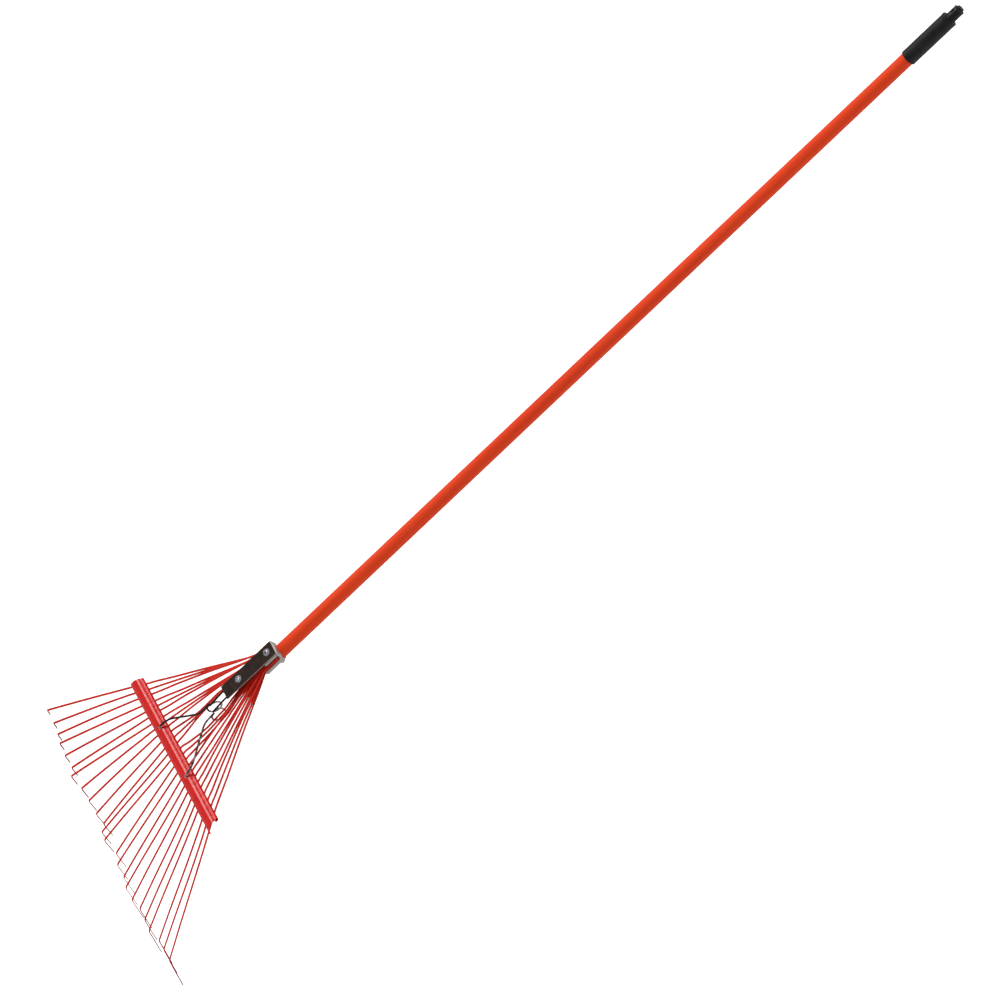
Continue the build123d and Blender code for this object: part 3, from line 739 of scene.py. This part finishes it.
soften("head_casting", "head_casting_cast", CASTING, voxel=0.5, rounds=6,
       shape=cast_shape)
for bolt in ("rear_bolt", "front_bolt"):
    soften(bolt, bolt + "_plated", ZINC, voxel=0.24, rounds=3)
soften("end_grip", "end_grip_moulded", RUBBER, voxel=0.55, rounds=5)
dress("clamp_plate", PLATE, bevel=0.3)
for nut in ("rear_nut", "front_nut"):
    dress(nut, ZINC, bevel=0.5)
for fitting in ("brace_washer", "brace_sleeve"):
    dress(fitting, ZINC, bevel=0.25)
dress("handle_core", WOOD)


# ------------------------------------------------------------------ handle tube
TUBE_WALL, TUBE_SEGMENTS, TUBE_STRETCHES = 3.2, 96, 24
RIM_OUT, RIM_IN = 0.5, 0.3  # chamfers at the tube's ends


def build_tube():
    """Tube turned about the Y axis, in many short rings so that it also exports round."""
    lo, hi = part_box("handle_tube")
    y0, y1, outer = lo[1] / MM, hi[1] / MM, (hi[0] - lo[0]) / 2 / MM
    bore = outer - TUBE_WALL
    stations = [y0 + (y1 - y0) * q / TUBE_STRETCHES for q in range(1, TUBE_STRETCHES)]
    # (y, radius): first end, along the bore, second end, back along the outside
    profile = [(y0 + RIM_OUT, outer), (y0, outer - RIM_OUT),
               (y0, bore + RIM_IN), (y0 + RIM_IN, bore)]
    profile += [(y, bore) for y in stations]
    profile += [(y1 - RIM_IN, bore), (y1, bore + RIM_IN),
                (y1, outer - RIM_OUT), (y1 - RIM_OUT, outer)]
    profile += [(y, outer) for y in reversed(stations)]
    turns = [2 * pi * j / TUBE_SEGMENTS for j in range(TUBE_SEGMENTS)]
    rings = [[Vector((radius * cos(a), y, radius * sin(a))) for a in turns]
             for y, radius in profile]
    tube = sweep("handle_tube_pultruded", rings, FIBREGLASS, closed=True)
    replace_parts(tube, "handle_tube")


build_tube()

# ------------------------------------------------------------------ brace spring
WIRE_R, WIRE_Z, WIRE_SIDES = 1.8, 19.24, 20
LOOP_R, LOOP_Y = 7.4, -84.5                  # half loop round X = 0
COIL_R, COIL_Y, COIL_Z = 13.0, -157.6, 2.9
COIL_STEP = 3.95                             # sideways travel over the one turn
END_X, END_Y = 59.5, -268.5                  # where the ends drop into the bar
COIL_OUT_X = LOOP_R + COIL_STEP


def wire_line():
    """Centre line of the wire, from the -X end round the loop to the +X end."""
    arm = []
    for q in range(7):
        a = pi / 2 * q / 6
        arm.append(Vector((LOOP_R * sin(a), LOOP_Y + LOOP_R * cos(a), WIRE_Z)))
    for y, rise in ((-98.0, 0), (-112.0, 0), (-124.0, -0.1), (-138.0, -1.1)):
        arm.append(Vector((LOOP_R, y, WIRE_Z + rise)))
    arm.append(Vector((LOOP_R + 0.02, -148.0, WIRE_Z - 2.2)))
    for q in range(21):
        f = q / 20
        a = radians(86) + 2 * pi * f
        arm.append(Vector((LOOP_R + COIL_STEP * (smoothstep(f) * 0.35 + f * 0.65),
                           COIL_Y - COIL_R * cos(a), COIL_Z + COIL_R * sin(a))))
    # (x, y, z) from the coil out to the end
    for point in (
            (COIL_OUT_X + 0.05, -168.0, 15.25), (COIL_OUT_X + 0.4, -178.0, 14.55),
            (COIL_OUT_X + 2.4, -186.5, 13.75), (COIL_OUT_X + 7.6, -194.5, 13.0),
            (30.0, -209.5, 11.8), (45.0, -229.0, 9.9), (54.2, -243.0, 8.3),
            (58.2, -254.0, 6.9), (59.3, -262.0, 6.0), (END_X, -266.7, 4.8),
            (END_X, END_Y + 0.05, 2.6), (END_X, END_Y, 0.0), (END_X, END_Y, -2.2)):
        arm.append(Vector(point))
    mirrored = [Vector((-p.x, p.y, p.z)) for p in arm[:0:-1]]
    return spline(mirrored + arm, step=1.1, start_slope=(0, 0, 1.0), end_slope=(0, 0, -1.0))


def wire_wear_and_highlight(p):
    """Rubbing and painted highlight: strong on the coils and ends, lighter on the arms, least
    elsewhere.
    """
    if p.y < -264:
        return 0.55
    if p.y < -160 and p.z > 3 and abs(p.x) > 9:
        # the +X arm is lighter than the -X arm: painted highlight
        return 0.40 if p.x > 0 else 0.22
    on_coil = math.hypot(p.y - COIL_Y, p.z - COIL_Z) < COIL_R + 1.0
    return 0.62 if on_coil and p.y < -142 and p.z < 14.5 else 0.10


def build_spring():
    line = wire_line()
    last = len(line) - 1
    side = Vector((1, 0, 0))
    turns = [2 * pi * j / WIRE_SIDES for j in range(WIRE_SIDES)]
    rings = []
    for q, centre in enumerate(line):
        ahead = tangent(line, q)
        side = unit(side - ahead * side.dot(ahead))
        other = unit(ahead.cross(side))
        # the two rings at each end are drawn in to round it
        radius = WIRE_R * {0: 0.55, 1: 0.86}.get(min(q, last - q), 1.0)
        rings.append([centre + (side * cos(a) + other * sin(a)) * radius for a in turns])
    wear_and_highlight = [wire_wear_and_highlight(p) for p in line]
    # let the rubbed and painted-highlight zones fade into the coating
    for _ in range(12):
        wear_and_highlight = [(wear_and_highlight[max(q - 1, 0)] + wear_and_highlight[q] + wear_and_highlight[min(q + 1, last)]) / 3
                for q in range(last + 1)]
    ob = sweep("brace_spring_wire", rings, WIRE)
    point_attribute(ob, "wear_and_highlight", per_ring(wear_and_highlight, WIRE_SIDES))
    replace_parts(ob, "brace_spring")


build_spring()

# ------------------------------------------------------------------ studio (metres)
WHITE = (1, 1, 1, 1)
FLOOR_SIZE, FLOOR_GAP = 120, 0.0015


def build_floor():
    """Pale floor that glows brightly to the camera and faintly to everything else."""
    material = bpy.data.materials.new("stage_floor")
    material.use_nodes = True
    tree = material.node_tree
    inputs = tree.nodes["Principled BSDF"].inputs
    inputs["Base Color"].default_value = (0.82, 0.82, 0.82, 1)
    inputs["Roughness"].default_value = 0.9
    inputs["Emission Color"].default_value = WHITE
    rays = tree.nodes.new("ShaderNodeLightPath")
    glow = tree.nodes.new("ShaderNodeMapRange")
    glow.inputs["To Min"].default_value = 0.06
    glow.inputs["To Max"].default_value = 0.78
    tree.links.new(rays.outputs["Is Camera Ray"], glow.inputs["Value"])
    tree.links.new(glow.outputs["Result"], inputs["Emission Strength"])
    bpy.ops.mesh.primitive_grid_add(x_subdivisions=2, y_subdivisions=2, size=FLOOR_SIZE,
                                    location=(0, 0.6, cad_lo[2] - FLOOR_GAP))
    floor = bpy.context.object
    floor.name = "stage_floor"
    floor.data.materials.append(material)


def build_world():
    """White world with its own strength for lighting, camera and glossy rays."""
    world = bpy.data.worlds.new("studio")
    scene.world = world
    world.use_nodes = True
    nodes, links = world.node_tree.nodes, world.node_tree.links
    rays = nodes.new("ShaderNodeLightPath")

    def white(node, strength):
        node.inputs[0].default_value = WHITE
        node.inputs[1].default_value = strength
        return node.outputs[0]

    def choose(ray, otherwise, chosen):
        mix = nodes.new("ShaderNodeMixShader")
        for index, source in enumerate((rays.outputs[ray], otherwise, chosen)):
            links.new(source, mix.inputs[index])
        return mix.outputs[0]

    lighting = white(nodes["Background"], strength=0.56)
    backdrop = white(nodes.new("ShaderNodeBackground"), strength=1.0)
    reflection = white(nodes.new("ShaderNodeBackground"), strength=0.34)
    surface = choose("Is Camera Ray", lighting, backdrop)
    surface = choose("Is Glossy Ray", surface, reflection)
    links.new(surface, nodes["World Output"].inputs["Surface"])


def add_sun(name, direction, strength, angle):
    """Sun shining from direction; angle is its width in degrees."""
    light = bpy.data.lights.new(name, "SUN")
    light.energy = strength
    light.angle = radians(angle)
    ob = bpy.data.objects.new(name, light)
    scene.collection.objects.link(ob)
    ob.rotation_euler = Vector(direction).to_track_quat("Z", "Y").to_euler()


def add_camera():
    """Distant long-lens camera looking down from +X, +Y."""
    lens = bpy.data.cameras.new("cam")
    camera = bpy.data.objects.new("cam", lens)
    scene.collection.objects.link(camera)
    lens.sensor_width = 36
    lens.lens = 1080.0
    lens.clip_start = 0.5
    lens.clip_end = 400
    camera.matrix_world = Matrix((
        (0.379175, -0.6985297, 0.6068629, 31.203326),
        (0.6889788, 0.6509218, 0.3187618, 16.8383485),
        (-0.6176848, 0.2972492, 0.7280854, 37.3275092),
        (0.0, 0.0, 0.0, 1.0)))
    scene.camera = camera


build_floor()
build_world()
add_sun("key", direction=(-0.62, 0.05, 0.78), strength=1.75, angle=20)
add_sun("fill", direction=(0.5, 0.7, 0.6), strength=0.12, angle=60)
scene.view_settings.view_transform = "Standard"
scene.view_settings.look = "None"
add_camera()
